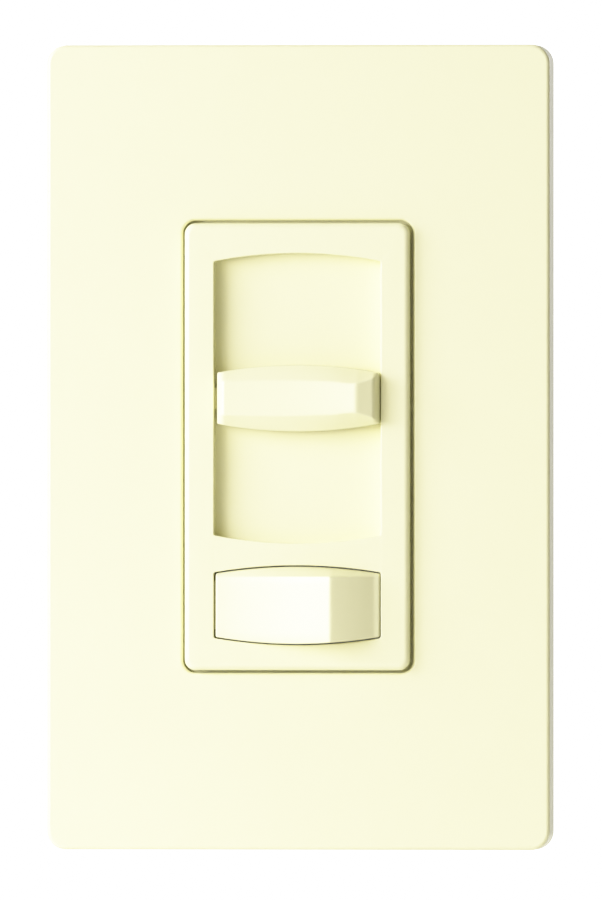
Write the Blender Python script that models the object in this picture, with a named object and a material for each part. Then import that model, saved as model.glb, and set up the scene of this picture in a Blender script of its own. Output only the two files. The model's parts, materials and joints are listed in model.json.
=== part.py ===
"""Three-way dimmer slide switch with a screwless wall plate.

X is right as seen from the front, Z is up and the front faces -Y. The wall is the plane Y = 0,
so a height h in front of the wall is Y = -h and a negative h lies inside the wall box.
Dimensions are in millimetres and are turned into metres where the meshes are made.
"""

from math import cos, pi, radians, sin

import bmesh
import bpy
from mathutils import Matrix, Vector

MM = 0.001
GAP = 0.3

# Wall plate: a one-gang screwless cover over its adapter.
PLATE_W = 74.7
PLATE_H = 119.1
PLATE_DEPTH = 7.5
PLATE_WALL = 1.8
PLATE_CORNER = 2.8
PLATE_EDGE = 0.6
OPENING_W = 34.2
OPENING_H = 66.9
OPENING_Z = 0.08
ADAPTER_BACK = 1.9
ADAPTER_FRONT = 3.9
ADAPTER_SCREW_Z = 48.4
BOX_SCREW_Z = 41.65

# Yoke, the metal strap behind the adapter.
YOKE_T = 1.6
YOKE_HALF_H = 53.0
YOKE_BODY_HALF_W = 22.25
YOKE_EAR_HALF_W = 16.5
YOKE_BODY_HALF_H = 36.0

# Bezel with the slide window and the button window.
BEZEL_W = 33.4
BEZEL_H = 66.1
BEZEL_X = -0.06
BEZEL_FACE = 8.9
BEZEL_WALL = 1.2
BEZEL_EDGE = 0.8
FLANGE_FRONT = 5.4
WINDOW_HALF_W = 12.4
WINDOW_Z = 7.25
WINDOW_HALF_H = 20.25
WINDOW_ARC = 1.2
WINDOW_FLOOR = 6.3
FLOOR_T = 1.8
GROOVE_W = 1.0
GROOVE_BACK = 3.0
GROOVE_WALL = 0.6
BUTTON_Z = -23.35
BUTTON_HALF_H = 4.85
BUTTON_ARC = 1.05
BUTTON_LEFT = -12.1
BUTTON_RIGHT = 12.25
BUTTON_RIDGE = 5.2
BUTTON_LIP = 11.4
BUTTON_BACK = 5.9
RIDGE_H = 12.8

# Slide: its arm leaves the window under the bezel's left edge, and its blade goes back from there.
TRAVEL = 16.0
BLADE_X = -13.8
BLADE_HALF_T = 0.4
BLADE_HALF_Z = 1.6
ARM_TOP = 7.4
KNOB_LEFT = -11.85
KNOB_RIGHT = 12.25
KNOB_UNDER = 6.6
KNOB_SHOULDER = 9.5

# Rear housing and the board inside it.
HOUSING_HALF_W = 21.5
HOUSING_HALF_H = 34.5
HOUSING_BACK = -30.3
HOUSING_WALL = 1.8
BOSS_X = 17.6
BOSS_Z = 31.0
WELL_X = 14.1
WELL_Z = 27.5
BOARD_FRONT = -9.5
BOARD_BACK = -11.1
LEAD_PITCH = 9.0
LEAD_Z = 22.0
RIVET_X = 9.0
RIVET_Z = 22.5
RIVET_HOLE_R = 1.8
GROUND_X = -11.0
GROUND_Z = -43.0
GROUND_HOLE_R = 1.6

# Screws: shank and head radii, and the slot's half width.
ADAPTER_SHANK_R = 1.4
ADAPTER_HEAD_R = 2.5
BOX_SHANK_R = 1.65
BOX_HEAD_R = 3.5
HOUSING_SHANK_R = 1.25
HOUSING_HEAD_R = 2.3
HOUSING_HOLE_R = 1.6
SLOT_HALF_W = 0.4


def clear_scene():
    for ob in list(bpy.data.objects):
        bpy.data.objects.remove(ob, do_unlink=True)


def collection(name):
    made = bpy.data.collections.new(name)
    bpy.context.scene.collection.children.link(made)
    return made


def material(name, color, roughness, metallic=0.0):
    made = bpy.data.materials.new(name)
    made.use_nodes = True
    shader = made.node_tree.nodes["Principled BSDF"]
    shader.inputs["Base Color"].default_value = (*color, 1.0)
    shader.inputs["Roughness"].default_value = roughness
    shader.inputs["Metallic"].default_value = metallic
    made.diffuse_color = (*color, 1.0)
    return made


def rounded(w, h, r, steps=5, cx=0.0, cz=0.0):
    """Outline of a rounded rectangle as (x, z) points, counter-clockwise from the front."""
    points = []
    corners = ((1, 1, 0), (-1, 1, 90), (-1, -1, 180), (1, -1, 270))
    for sx, sz, start in corners:
        for i in range(steps + 1):
            a = radians(start + 90 * i / steps)
            x = cx + sx * (w / 2 - r) + r * cos(a)
            z = cz + sz * (h / 2 - r) + r * sin(a)
            points.append((x, z))
    return points


def bowed(half_w, half_h, arc, cz, steps=12):
    """Outline with straight sides and outward-bowed top and bottom edges."""
    across = [half_w * (1 - 2 * i / steps) for i in range(steps + 1)]
    top = [(x, cz + half_h + arc * (1 - (x / half_w) ** 2)) for x in across]
    bottom = [(x, 2 * cz - z) for x, z in reversed(top)]
    return top + bottom


def plate(outline, h0, h1):
    """A flat outline of (x, z) points given its thickness, from height h0 to height h1."""
    curve = bpy.data.curves.new("outline", "CURVE")
    curve.dimensions = "2D"
    curve.fill_mode = "BOTH"
    curve.extrude = abs(h1 - h0) / 2 * MM
    line = curve.splines.new("POLY")
    line.points.add(len(outline) - 1)
    line.use_cyclic_u = True
    for point, (x, z) in zip(line.points, outline):
        point.co = (x * MM, z * MM, 0.0, 1.0)
    ob = bpy.data.objects.new("outline", curve)
    bpy.context.scene.collection.objects.link(ob)
    ready = ob.evaluated_get(bpy.context.evaluated_depsgraph_get())
    flat = bpy.data.meshes.new_from_object(ready)
    bpy.data.objects.remove(ob, do_unlink=True)
    bpy.data.curves.remove(curve)
    bm = bmesh.new()
    bm.from_mesh(flat)
    bpy.data.meshes.remove(flat)
    bmesh.ops.remove_doubles(bm, verts=bm.verts, dist=0.001 * MM)
    caps = [f for f in bm.faces if all(abs(v.co.z - f.verts[0].co.z) < 0.001 * MM for v in f.verts)]
    bmesh.ops.dissolve_faces(bm, faces=caps)
    upright = Matrix.Translation((0.0, -(h0 + h1) / 2 * MM, 0.0)) @ Matrix.Rotation(radians(90), 4, "X")
    bmesh.ops.transform(bm, matrix=upright, verts=bm.verts)
    return bm


def rolled(bm, h, width, segments=3):
    """The same body with the edges of its face at height h rolled over."""
    edges = [e for e in bm.edges if all(abs(v.co.y + h * MM) < 0.001 * MM for v in e.verts)]
    bmesh.ops.bevel(bm, geom=edges, offset=width * MM, segments=segments, profile=0.5, affect="EDGES")
    return bm


def box(x0, x1, h0, h1, z0, z1):
    bm = bmesh.new()
    centre = Vector(((x0 + x1) / 2, -(h0 + h1) / 2, (z0 + z1) / 2)) * MM
    size = Vector((abs(x1 - x0), abs(h1 - h0), abs(z1 - z0))) * MM
    bmesh.ops.create_cube(bm, size=1.0, matrix=Matrix.LocRotScale(centre, None, size))
    return bm


def rod(r, start, end, count):
    """A cylinder between two (x, h, z) points."""
    a, b = (Vector((x, -h, z)) * MM for x, h, z in (start, end))
    place = Matrix.LocRotScale((a + b) / 2, (b - a).to_track_quat("Z", "Y"), None)
    bm = bmesh.new()
    bmesh.ops.create_cone(
        bm, cap_ends=True, segments=count,
        radius1=r * MM, radius2=r * MM, depth=(b - a).length, matrix=place,
    )
    return bm


def disc(r, x, z, h0, h1, count=20):
    return rod(r, (x, h0, z), (x, h1, z), count)


def rod_x(r, x0, x1, h, z, count=16):
    return rod(r, (x0, h, z), (x1, h, z), count)


def rod_z(r, z0, z1, x, h, count=16):
    return rod(r, (x, h, z0), (x, h, z1), count)


def loft(rings):
    """A closed body through a row of unlike sections, each a ring of (x, h, z) points."""
    bm = bmesh.new()
    loops = [[bm.verts.new(Vector((x, -h, z)) * MM) for x, h, z in ring] for ring in rings]
    for near, far in zip(loops, loops[1:]):
        for i in range(len(near)):
            j = (i + 1) % len(near)
            bm.faces.new((near[i], near[j], far[j], far[i]))
    bm.faces.new(loops[0])
    bm.faces.new(loops[-1])
    return bm


def along(points, x):
    """Value at x on the straight lines through (x, value) points."""
    for (xa, va), (xb, vb) in zip(points, points[1:]):
        if x <= xb:
            return va + (vb - va) * max(x - xa, 0.0) / (xb - xa)
    return points[-1][1]


def mesh_of(name, bm, origin):
    bmesh.ops.translate(bm, vec=Vector(origin) * -MM, verts=bm.verts)
    bmesh.ops.recalc_face_normals(bm, faces=bm.faces)
    made = bpy.data.meshes.new(name)
    bm.to_mesh(made)
    bm.free()
    return made


def part(name, mat, body, origin=(0.0, 0.0, 0.0), add=(), cut=()):
    """One named node from a main body, plus bodies joined on and bodies cut away."""
    ob = bpy.data.objects.new(name, mesh_of(name, body, origin))
    ob.location = [c * MM for c in origin]
    ob.data.materials.append(mat)
    PARTS.objects.link(ob)
    for operation, shapes in (("UNION", add), ("DIFFERENCE", cut)):
        for i, shape in enumerate(shapes):
            label = f"{name}_{operation.lower()}_{i}"
            tool = bpy.data.objects.new(label, mesh_of(label, shape, origin))
            tool.parent = ob
            tool.hide_render = True
            tool.display_type = "WIRE"
            TOOLS.objects.link(tool)
            step = ob.modifiers.new(label, "BOOLEAN")
            step.solver = "EXACT"
            step.operation = operation
            step.object = tool
    return ob


def smooth(ob, angle=40):
    """Smooth shading inside each run of faces that meet at less than the given angle."""
    bm = bmesh.new()
    bm.from_mesh(ob.data)
    for face in bm.faces:
        face.smooth = True
    for edge in bm.edges:
        edge.smooth = edge.calc_face_angle(0.0) < radians(angle)
    bm.to_mesh(ob.data)
    bm.free()
    return ob


def coil(name, mat, path, wire_r, origin=(0.0, 0.0, 0.0), sides=6):
    """One wire body along a list of (x, y, z) points."""
    curve = bpy.data.curves.new(name, "CURVE")
    curve.dimensions = "3D"
    curve.bevel_depth = wire_r * MM
    curve.bevel_resolution = (sides - 4) // 2
    curve.use_fill_caps = True
    line = curve.splines.new("POLY")
    line.points.add(len(path) - 1)
    for point, (x, y, z) in zip(line.points, path):
        place = [(c - o) * MM for c, o in zip((x, y, z), origin)]
        point.co = (*place, 1.0)
    ob = bpy.data.objects.new(name, curve)
    ob.location = [c * MM for c in origin]
    curve.materials.append(mat)
    PARTS.objects.link(ob)
    return ob


clear_scene()
PARTS = collection("dimmer_slide_switch")
TOOLS = collection("dimmer_slide_switch_cutters")

IVORY = material("ivory_plastic", (0.90, 0.87, 0.72), 0.25)
IVORY_BACK = material("adapter_plastic", (0.84, 0.81, 0.68), 0.45)
BLACK = material("black_moulding", (0.03, 0.03, 0.032), 0.5)
ALUMINIUM = material("yoke_aluminium", (0.78, 0.79, 0.80), 0.35, 1.0)
STEEL = material("screw_steel", (0.70, 0.69, 0.66), 0.3, 1.0)
FIBRE = material("washer_fibre", (0.62, 0.28, 0.18), 0.8)
BOARD = material("board_laminate", (0.42, 0.30, 0.13), 0.5)
BRASS = material("contact_brass", (0.78, 0.60, 0.28), 0.3, 1.0)
COPPER = material("winding_copper", (0.65, 0.26, 0.12), 0.35, 1.0)
FERRITE = material("core_powder", (0.62, 0.58, 0.16), 0.6)
PHENOLIC = material("switch_phenolic", (0.16, 0.09, 0.05), 0.5)
NYLON = material("plunger_nylon", (0.85, 0.84, 0.80), 0.45)
CARBON = material("element_carbon", (0.05, 0.05, 0.05), 0.6)
YELLOW = material("capacitor_film", (0.80, 0.58, 0.10), 0.45)
GREEN = material("capacitor_dip", (0.22, 0.42, 0.16), 0.4)
GLASS_BLUE = material("diac_glass", (0.10, 0.22, 0.45), 0.15)
TAN = material("resistor_body", (0.72, 0.58, 0.38), 0.5)
SILPAD = material("pad_silicone", (0.60, 0.62, 0.66), 0.8)
TINNED = material("tinned_steel", (0.80, 0.80, 0.78), 0.35, 1.0)


# Wall plate cover: a shallow shell with a rolled front edge and one tall opening.
inner_w = PLATE_W - 2 * PLATE_WALL
inner_h = PLATE_H - 2 * PLATE_WALL
inner_front = PLATE_DEPTH - PLATE_WALL
smooth(part(
    "wallplate_cover",
    IVORY,
    rolled(plate(rounded(PLATE_W, PLATE_H, PLATE_CORNER), 0.0, PLATE_DEPTH), PLATE_DEPTH, PLATE_EDGE),
    cut=(
        plate(rounded(inner_w, inner_h, 1.4), -1.0, inner_front),
        plate(rounded(OPENING_W, OPENING_H, 1.9, 5, 0.0, OPENING_Z), inner_front - 1.0, PLATE_DEPTH + 1.0),
    ),
))

# Adapter: the flat frame that the cover snaps onto, with two stiffening ribs.
rib_front = inner_front - GAP
part(
    "wallplate_adapter",
    IVORY_BACK,
    plate(rounded(inner_w - 0.6, inner_h - 0.6, 1.2), ADAPTER_BACK, ADAPTER_FRONT),
    add=[box(s * 22, s * 24, ADAPTER_FRONT - 0.5, rib_front, -52, 52) for s in (-1, 1)],
    cut=[plate(rounded(36.5, 70.0, 1.5), ADAPTER_BACK - 1, ADAPTER_FRONT + 1)]
    + [disc(2.0, 0, s * ADAPTER_SCREW_Z, ADAPTER_BACK - 1, ADAPTER_FRONT + 1) for s in (-1, 1)]
    + [disc(4.0, 0, s * BOX_SCREW_Z, ADAPTER_BACK - 1, ADAPTER_FRONT + 1, 28) for s in (-1, 1)],
)

# Yoke: body and ears in one outline, with holes for the screws, the blade and the plunger.
quarter = [
    (YOKE_BODY_HALF_W, YOKE_BODY_HALF_H - 2), (YOKE_BODY_HALF_W - 2, YOKE_BODY_HALF_H),
    (YOKE_EAR_HALF_W, YOKE_BODY_HALF_H), (YOKE_EAR_HALF_W, YOKE_HALF_H - 3),
    (YOKE_EAR_HALF_W - 3, YOKE_HALF_H),
]
yoke_outline = (
    quarter
    + [(-x, z) for x, z in reversed(quarter)]
    + [(-x, -z) for x, z in quarter]
    + [(x, -z) for x, z in reversed(quarter)]
)
slot_half = TRAVEL + BLADE_HALF_Z + 1.6
part(
    "yoke",
    ALUMINIUM,
    plate(yoke_outline, 0.0, YOKE_T),
    cut=[box(BLADE_X - 1.6, BLADE_X + 1.6, -1, 3, WINDOW_Z - slot_half, WINDOW_Z + slot_half)]
    + [box(-4.2, 4.2, -1, 3, BUTTON_Z - 3.6, BUTTON_Z + 3.6)]
    + [disc(1.75, 0, s * ADAPTER_SCREW_Z, -1, 3) for s in (-1, 1)]
    + [plate(rounded(6.6, 4.2, 2.09, 5, 0, s * BOX_SCREW_Z), -1, 3) for s in (-1, 1)]
    + [disc(HOUSING_HOLE_R, sx * BOSS_X, sz * BOSS_Z, -1, 3, 16) for sx in (-1, 1) for sz in (-1, 1)]
    + [disc(RIVET_HOLE_R, RIVET_X, RIVET_Z, -1, 3, 16)]
    + [disc(GROUND_HOLE_R, GROUND_X, GROUND_Z, -1, 3, 16)],
)

# Screws into the yoke and into the wall box, with the fibre washers that hold the box screws.
for side, s in (("upper", 1), ("lower", -1)):
    z = s * ADAPTER_SCREW_Z
    smooth(part(
        f"adapter_screw_{side}",
        STEEL,
        disc(ADAPTER_HEAD_R, 0, z, ADAPTER_FRONT + GAP, rib_front),
        origin=(0.0, 0.0, z),
        add=[disc(ADAPTER_SHANK_R, 0, z, -4.0, ADAPTER_FRONT + 0.6)],
        cut=[box(-3, 3, rib_front - 0.6, rib_front + 1, z - SLOT_HALF_W, z + SLOT_HALF_W)],
    ))
    z = s * BOX_SCREW_Z
    smooth(part(
        f"box_screw_{side}",
        STEEL,
        disc(BOX_HEAD_R, 0, z, ADAPTER_BACK, ADAPTER_BACK + 1.8),
        origin=(0.0, 0.0, z),
        add=[disc(BOX_SHANK_R, 0, z, -22.0, ADAPTER_BACK + 0.4)],
        cut=[box(-4, 4, ADAPTER_BACK + 1.0, ADAPTER_BACK + 3, z - SLOT_HALF_W, z + SLOT_HALF_W)],
    ))
    part(
        f"screw_retainer_{side}",
        FIBRE,
        disc(4.2, 0, z, -1.1, -GAP),
        origin=(0.0, 0.0, z),
        cut=[disc(BOX_SHANK_R + GAP, 0, z, -2, 1)],
    )

# Bezel: a moulded frame with a floored window for the slide and an open one for the button.
bezel_outline = rounded(BEZEL_W, BEZEL_H, 1.6, 5, BEZEL_X, OPENING_Z)
under_floor = WINDOW_FLOOR - FLOOR_T
cavity = BEZEL_W / 2 - BEZEL_WALL
cavity_z = BEZEL_H / 2 - BEZEL_WALL
split_z = WINDOW_Z - WINDOW_HALF_H - WINDOW_ARC - BEZEL_WALL
guide_left = -WINDOW_HALF_W - GROOVE_WALL
guide_right = GROOVE_W - WINDOW_HALF_W + GROOVE_WALL
guide_back = GROOVE_BACK - GROOVE_WALL
hollow = [
    (-cavity, 1), (cavity, 1), (cavity, under_floor), (guide_right, under_floor),
    (guide_right, guide_back), (guide_left, guide_back), (guide_left, under_floor), (-cavity, under_floor),
]
smooth(part(
    "bezel",
    IVORY,
    rolled(plate(bezel_outline, ADAPTER_BACK, BEZEL_FACE), BEZEL_FACE, BEZEL_EDGE),
    add=[plate(rounded(35.5, 69.0, 1.2), ADAPTER_BACK, FLANGE_FRONT)],
    cut=[
        box(-cavity, cavity, 1, BEZEL_FACE - BEZEL_WALL, -cavity_z, split_z),
        loft([[(x, h, z) for x, h in hollow] for z in (split_z - 1, cavity_z)]),
        plate(bowed(WINDOW_HALF_W, WINDOW_HALF_H, WINDOW_ARC, WINDOW_Z), WINDOW_FLOOR, 10),
        plate(bowed(WINDOW_HALF_W, BUTTON_HALF_H, BUTTON_ARC, BUTTON_Z), 7, 10),
        box(
            -WINDOW_HALF_W, GROOVE_W - WINDOW_HALF_W, GROOVE_BACK, 7,
            WINDOW_Z - WINDOW_HALF_H, WINDOW_Z + WINDOW_HALF_H,
        ),
        box(
            BLADE_X - 0.8, -WINDOW_HALF_W + 1, WINDOW_FLOOR, BEZEL_FACE - BEZEL_WALL,
            WINDOW_Z - WINDOW_HALF_H, WINDOW_Z + WINDOW_HALF_H,
        ),
        box(BLADE_X - 0.7, BLADE_X + 0.7, 3, 7, WINDOW_Z - slot_half, WINDOW_Z + slot_half),
    ],
))


# Slide knob: a low bevelled bar with a raised left end, a slight hollow and a ridge near its right end.
knob_top = [(KNOB_LEFT, 9.3), (-11.0, 11.2), (-1.0, 11.5), (9.05, 12.3), (11.65, 11.2), (KNOB_RIGHT, 8.9)]
knob_plateau = [(KNOB_LEFT, 2.5), (0.0, 2.6), (9.05, 2.2), (KNOB_RIGHT, 3.3)]


def knob_ring(x):
    base = 3.7 + 1.2 * (1 - (x / WINDOW_HALF_W) ** 2)
    top = along(knob_top, x)
    half = [(KNOB_UNDER, base), (min(KNOB_SHOULDER, top - 0.1), base), (top, along(knob_plateau, x))]
    side = [(x, h, WINDOW_Z + z) for h, z in half]
    return side + [(x, h, 2 * WINDOW_Z - z) for _, h, z in reversed(side)]


knob_steps = [KNOB_LEFT, -11.0, -8.0, -4.0, -1.0, 3.0, 6.0, 9.05, 10.4, 11.65, KNOB_RIGHT]
blade = (BLADE_X - BLADE_HALF_T, BLADE_X + BLADE_HALF_T)
blade_z = (WINDOW_Z - BLADE_HALF_Z, WINDOW_Z + BLADE_HALF_Z)
smooth(part(
    "slider_knob",
    IVORY,
    loft([knob_ring(x) for x in knob_steps]),
    origin=(0.0, -BEZEL_FACE, WINDOW_Z),
    add=[
        box(blade[0], KNOB_LEFT + 1, KNOB_UNDER + 0.1, ARM_TOP, *blade_z),
        box(*blade, -6.0, ARM_TOP, *blade_z),
    ],
))


def button_top(x):
    """Height of the button's top face: a hollow ramp, a ridge, a rounded fall and a narrow lip."""
    if x <= BUTTON_RIDGE:
        t = (x - BUTTON_LEFT) / (BUTTON_RIDGE - BUTTON_LEFT)
        return BEZEL_FACE + 0.1 + (RIDGE_H - BEZEL_FACE - 0.1) * (0.35 * t + 0.65 * t * t)
    if x <= BUTTON_LIP:
        t = (x - BUTTON_RIDGE) / (BUTTON_LIP - BUTTON_RIDGE)
        return RIDGE_H - (RIDGE_H - BEZEL_FACE - 0.4) * (0.78 * t + 0.22 * t * t)
    return BEZEL_FACE + 0.4 - 0.35 * (x - BUTTON_LIP)


def button_ring(x):
    """The upper side is bevelled back to a straight edge, and the lower side is a plain bowed wall."""
    base = BUTTON_HALF_H - 0.2 + BUTTON_ARC * (1 - (x / WINDOW_HALF_W) ** 2)
    top = button_top(x)
    upper = [(BUTTON_BACK, base), (BEZEL_FACE - 0.3, base), (top, 4.25)]
    lower = [(top, -base), (BEZEL_FACE - 0.3, -base), (BUTTON_BACK, -base)]
    return [(x, h, BUTTON_Z + z) for h, z in upper + lower]


button_steps = [BUTTON_LEFT, -10, -7, -4, -1, 2, 4, BUTTON_RIDGE, 6.5, 8, 9.5, BUTTON_LIP, BUTTON_RIGHT]
front_back = BEZEL_FACE - BEZEL_WALL
smooth(part(
    "on_off_button",
    IVORY,
    loft([button_ring(x) for x in button_steps]),
    origin=(0.0, -BEZEL_FACE, BUTTON_Z),
    add=[
        box(-13.6, 13.6, BUTTON_BACK, front_back - GAP, BUTTON_Z - 3.6, BUTTON_Z + 3.6),
        box(-2.2, 2.2, 3.0, 6.4, BUTTON_Z - 2.2, BUTTON_Z + 2.2),
    ],
))

# Rear housing: an open-fronted box with four screw bosses and three lead collars.
inner_x = HOUSING_HALF_W - HOUSING_WALL
inner_z = HOUSING_HALF_H - HOUSING_WALL
floor_h = HOUSING_BACK + HOUSING_WALL
bosses = [(sx * BOSS_X, sz * BOSS_Z) for sx in (-1, 1) for sz in (-1, 1)]
lead_exits = [(x, LEAD_Z) for x in (-LEAD_PITCH, 0.0, LEAD_PITCH)]
smooth(part(
    "rear_housing",
    BLACK,
    plate(rounded(2 * HOUSING_HALF_W, 2 * HOUSING_HALF_H, 2.2), HOUSING_BACK, -GAP),
    add=[disc(3.0, x, z, HOUSING_BACK - 1.6, HOUSING_BACK + 0.5) for x, z in lead_exits],
    cut=[box(-inner_x, inner_x, floor_h, 1, -WELL_Z, WELL_Z)]
    + [box(-WELL_X, WELL_X, floor_h, 2, -inner_z, inner_z)]
    + [disc(HOUSING_HOLE_R, x, z, HOUSING_BACK - 1, 1, 16) for x, z in bosses]
    + [disc(HOUSING_HEAD_R + 0.4, x, z, HOUSING_BACK - 1, HOUSING_BACK + 2.2, 16) for x, z in bosses]
    + [disc(1.7, x, z, HOUSING_BACK - 3, floor_h + 1, 16) for x, z in lead_exits],
))
for i, (x, z) in enumerate(bosses, 1):
    smooth(part(
        f"housing_screw_{i}",
        STEEL,
        disc(HOUSING_HEAD_R, x, z, HOUSING_BACK + 0.2, HOUSING_BACK + 1.9, 16),
        origin=(x, 0.0, z),
        add=[disc(HOUSING_SHANK_R, x, z, HOUSING_BACK + 1.4, YOKE_T - 0.1, 12)],
        cut=[box(x - 3, x + 3, HOUSING_BACK - 1, HOUSING_BACK + 0.8, z - SLOT_HALF_W, z + SLOT_HALF_W)],
    ))

# Circuit board, notched round the bosses.
edge_x = inner_x - GAP
edge_z = inner_z - GAP
notch_x = WELL_X - GAP
notch_z = WELL_Z - GAP
part(
    "circuit_board",
    BOARD,
    box(-edge_x, edge_x, BOARD_BACK, BOARD_FRONT, -edge_z, edge_z),
    cut=[
        box(sx * notch_x, sx * (edge_x + 1), BOARD_BACK - 1, BOARD_FRONT + 1, sz * notch_z, sz * inner_z)
        for sx in (-1, 1) for sz in (-1, 1)
    ],
)

# Slide potentiometer: slotted case, resistive element, and the carriage and wiper that ride in it.
pot_back = BOARD_FRONT + GAP
case_slot = slot_half - 0.6
part(
    "pot_case",
    TINNED,
    box(BLADE_X - 4.55, BLADE_X + 4.55, pot_back, -1.2, -12.9, 27.4),
    cut=[
        box(BLADE_X - 3.85, BLADE_X + 3.85, pot_back + 0.7, -1.9, -12.2, 26.7),
        box(BLADE_X - 1.45, BLADE_X + 1.45, -2.5, 0.0, WINDOW_Z - case_slot, WINDOW_Z + case_slot),
    ],
)
part("pot_element", CARBON, box(BLADE_X - 3.45, BLADE_X + 3.45, -8.2, -7.6, -11.9, 26.4))
part(
    "pot_carriage",
    NYLON,
    box(BLADE_X - 3.45, BLADE_X + 3.45, -6.6, -2.3, WINDOW_Z - 3.0, WINDOW_Z + 3.0),
    origin=(BLADE_X, 4.0, WINDOW_Z),
    cut=[box(
        BLADE_X - 0.75, BLADE_X + 0.75, -8.0, -1.0,
        WINDOW_Z - BLADE_HALF_Z - 0.35, WINDOW_Z + BLADE_HALF_Z + 0.35,
    )],
)
part(
    "pot_wiper",
    BRASS,
    box(BLADE_X - 2.95, BLADE_X + 2.95, -7.1, -6.9, WINDOW_Z - 1.2, WINDOW_Z + 1.2),
    origin=(BLADE_X, 7.0, WINDOW_Z),
    add=[
        box(x - 0.6, x + 0.6, -7.3, -6.95, WINDOW_Z - 2.2, WINDOW_Z + 0.4)
        for x in (BLADE_X - 1.95, BLADE_X + 1.95)
    ],
)

# Push-push switch under the button.
part(
    "switch_base",
    PHENOLIC,
    box(-9.0, 9.0, pot_back, -1.2, -31.0, -15.7),
    cut=[box(-7.5, 7.5, -7.9, 0.0, -29.5, -17.2)],
)
smooth(part(
    "switch_plunger",
    NYLON,
    box(-3.0, 3.0, -2.8, 2.7, BUTTON_Z - 2.4, BUTTON_Z + 2.4),
    origin=(0.0, 0.0, BUTTON_Z),
    add=[
        box(-7.1, 7.1, -3.0, -2.2, BUTTON_Z - 5.4, BUTTON_Z + 5.4),
        disc(1.5, 0, BUTTON_Z, -5.0, -2.6, 16),
    ],
))
spring_turns = 3.5
spring_points = 56
coil(
    "button_spring",
    TINNED,
    [
        (
            2.6 * cos(2 * pi * spring_turns * i / spring_points),
            3.6 + 3.7 * i / spring_points,
            BUTTON_Z + 2.6 * sin(2 * pi * spring_turns * i / spring_points),
        )
        for i in range(spring_points + 1)
    ],
    0.3,
    origin=(0.0, 7.6, BUTTON_Z),
)
rocker = part(
    "switch_rocker",
    BRASS,
    box(-6.6, -5.0, -6.2, -5.6, BUTTON_Z - 5.0, BUTTON_Z + 5.0),
    origin=(-5.8, 5.9, BUTTON_Z),
    add=[rod_x(0.6, -6.9, -4.7, -5.9, BUTTON_Z)],
)
rocker.rotation_euler = (radians(-6.0), 0.0, 0.0)
for label, z in (("a", BUTTON_Z + 4.3), ("b", BUTTON_Z - 4.3)):
    smooth(part(f"switch_contact_{label}", BRASS, disc(1.1, -5.8, z, -7.6, -7.1, 16)))
smooth(part(
    "switch_latch_pin",
    STEEL,
    rod_z(0.4, BUTTON_Z - 1.0, BUTTON_Z + 4.4, 5.8, -6.4, 10),
    origin=(5.8, 6.4, BUTTON_Z + 4.4),
    add=[rod_x(0.55, 5.0, 6.6, -6.4, BUTTON_Z + 4.4, 12)],
))

# Triac on the yoke, insulated by its pad and held by a rivet.
part(
    "triac_pad",
    SILPAD,
    box(3.0, 15.0, -0.6, -GAP, 9.0, 27.0),
    cut=[disc(RIVET_HOLE_R, RIVET_X, RIVET_Z, -2, 1, 16)],
)
part(
    "triac",
    BLACK,
    box(4.0, 14.0, -2.2, -0.9, 10.0, 26.0),
    add=[box(4.0, 14.0, -5.4, -0.95, 9.8, 18.8)]
    + [box(x - 0.4, x + 0.4, -3.4, -2.8, 6.2, 10.2) for x in (6.4, 9.0, 11.6)]
    + [box(x - 0.4, x + 0.4, pot_back, -2.85, 6.2, 6.8) for x in (6.4, 9.0, 11.6)],
    cut=[disc(RIVET_HOLE_R, RIVET_X, RIVET_Z, -4, 1, 16)],
)
smooth(part(
    "triac_rivet",
    ALUMINIUM,
    disc(RIVET_HOLE_R - GAP, RIVET_X, RIVET_Z, -3.4, 2.9, 16),
    origin=(RIVET_X, 0.0, RIVET_Z),
    add=[
        disc(2.8, RIVET_X, RIVET_Z, YOKE_T + GAP, YOKE_T + 1.3),
        disc(2.4, RIVET_X, RIVET_Z, -3.6, -2.5),
    ],
))

# Ground lug riveted to the back of the lower ear.
smooth(part(
    "ground_rivet",
    BRASS,
    disc(GROUND_HOLE_R - GAP, GROUND_X, GROUND_Z, -1.8, YOKE_T - 0.1, 16),
    origin=(GROUND_X, 0.0, GROUND_Z),
    add=[disc(2.3, GROUND_X, GROUND_Z, -2.2, -1.2)],
))
part(
    "ground_tab",
    BRASS,
    plate(rounded(6.0, 12.0, 1.5, 3, GROUND_X, GROUND_Z - 3.0), -0.9, -GAP),
    cut=[disc(GROUND_HOLE_R, GROUND_X, GROUND_Z, -3, 1, 16)],
)

# Noise filter choke: a ring core with its winding.
choke = (-8.6, 17.0, -14.5)
smooth(part(
    "choke_core",
    FERRITE,
    disc(8.6, choke[0], choke[2], -13.8, -20.2, 32),
    origin=choke,
    cut=[disc(4.8, choke[0], choke[2], -25, -10, 24)],
))
turns = 15
steps = 12
winding = []
for i in range(turns * steps + 1):
    sweep = 2 * pi * 0.9 * i / (turns * steps)
    roll = 2 * pi * i / steps
    out = 6.7 + 2.9 * max(-1.0, min(1.0, 1.35 * cos(roll)))
    depth = 17.0 + 4.1 * max(-1.0, min(1.0, 1.35 * sin(roll)))
    winding.append((choke[0] + out * cos(sweep), depth, choke[2] + out * sin(sweep)))
coil("choke_winding", COPPER, winding, 0.4, origin=choke)

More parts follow.
